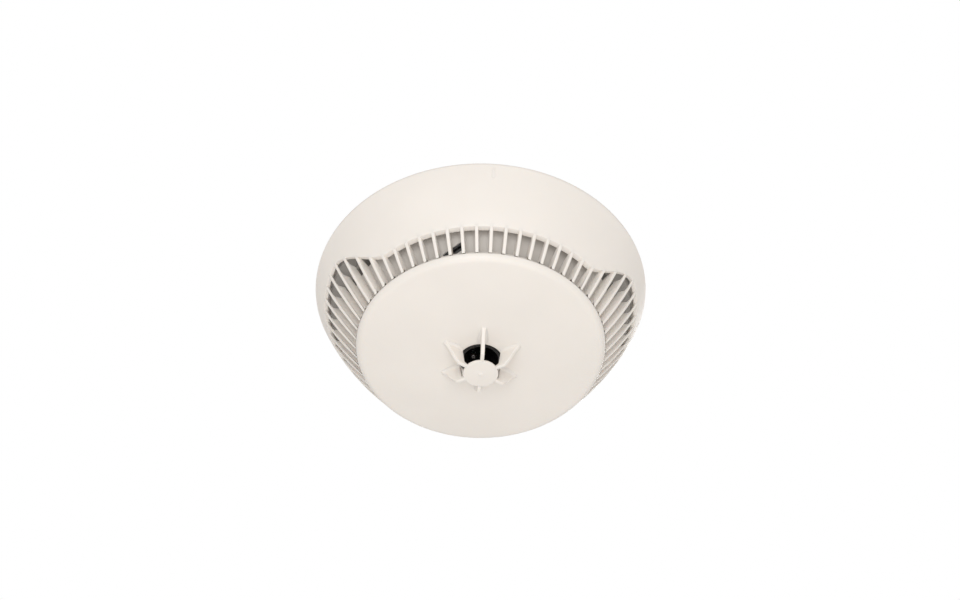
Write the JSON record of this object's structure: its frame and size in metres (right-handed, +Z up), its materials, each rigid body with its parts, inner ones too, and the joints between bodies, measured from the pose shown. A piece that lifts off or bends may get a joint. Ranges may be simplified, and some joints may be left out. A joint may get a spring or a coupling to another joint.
{
  "type": "heat detector",
  "caption": "Round ceiling heat detector with a domed vented cover, a press-to-test front disc carrying a bladed sensor cage, and a twist-lock base.",
  "frame": {"origin": "centre of the base plate's face that lies on the ceiling", "axes": "+Z up into the ceiling, so the detector hangs towards -Z; -Y is the side with the alignment rib on the rim, and the two large vent openings face +X and -X"},
  "size_m": [0.14, 0.14, 0.0494],
  "materials": {
    "cover_plastic": "fine moulded texture, warm white",
    "disc_plastic": "satin, warm white",
    "chassis_plastic": "satin, warm white",
    "base_plastic": "fine moulded texture, white",
    "rear_plastic": "moulded, warm white",
    "black_plastic": "moulded, black",
    "grommet_rubber": "matt rubber",
    "terminal_plastic": "moulded, ivory",
    "contact_brass": "bright stamped",
    "screw_steel": "zinc plated",
    "board_laminate": "solder resist over copper tracks",
    "bead_glaze": "glossy dipped bead",
    "tinned_wire": "tinned",
    "sounder_ceramic": "silvered ceramic",
    "cell_steel": "nickel plated",
    "film_capacitor_case": "moulded case",
    "capacitor_sleeve": "shrink sleeve",
    "varistor_coating": "dipped coating",
    "chip_resin": "moulded resin",
    "lamp_resin": "clear tinted resin",
    "plunger_plastic": "moulded, red",
    "spring_steel": "drawn wire"
  },
  "bodies": {
    "base": {"mounting_base": "base_plastic", "cable_grommet": "grommet_rubber", "terminal_block": "terminal_plastic", "terminal_clamps": "contact_brass", "terminal_screws": "screw_steel", "base_contacts": "contact_brass"},
    "head": {"outer_cover": "cover_plastic", "inner_chassis": "chassis_plastic", "rear_housing": "rear_plastic", "cover_screws": "screw_steel", "contact_blades": "contact_brass", "circuit_board": "board_laminate", "board_screws": "screw_steel", "sensor_well": "black_plastic", "thermistor_bead": "bead_glaze", "thermistor_leads": "tinned_wire", "sounder_housing": "black_plastic", "sounder_disc": "contact_brass", "sounder_ceramic": "sounder_ceramic", "backup_cells": "cell_steel", "cell_tabs": "tinned_wire", "film_capacitor": "film_capacitor_case", "smoothing_capacitor": "capacitor_sleeve", "varistor": "varistor_coating", "control_chip": "chip_resin", "indicator_lamps": "lamp_resin", "switch_body": "black_plastic", "return_springs": "spring_steel"},
    "button": {"test_button": "disc_plastic"},
    "plunger": {"switch_plunger": "plunger_plastic"}
  },
  "joints": [
    {"name": "head_twist", "type": "hinge", "parent": "base", "child": "head", "pos_m": [0, 0, -0.01], "axis": [0, 0, 1], "range_deg": [-24, 0]},
    {"name": "button_press", "type": "slide", "parent": "head", "child": "button", "axis": [0, 0, 1], "range_m": [0, 0.001], "stiffness_N_per_m": 3000, "springref_m": -0.001, "deforming": ["return_springs"]},
    {"name": "plunger_press", "type": "slide", "parent": "head", "child": "plunger", "axis": [0, 0, 1], "range_m": [0, 0.001]}
  ],
  "couplings": [
    {"joint": "plunger_press", "follows": "button_press", "ratio": 1}
  ]
}
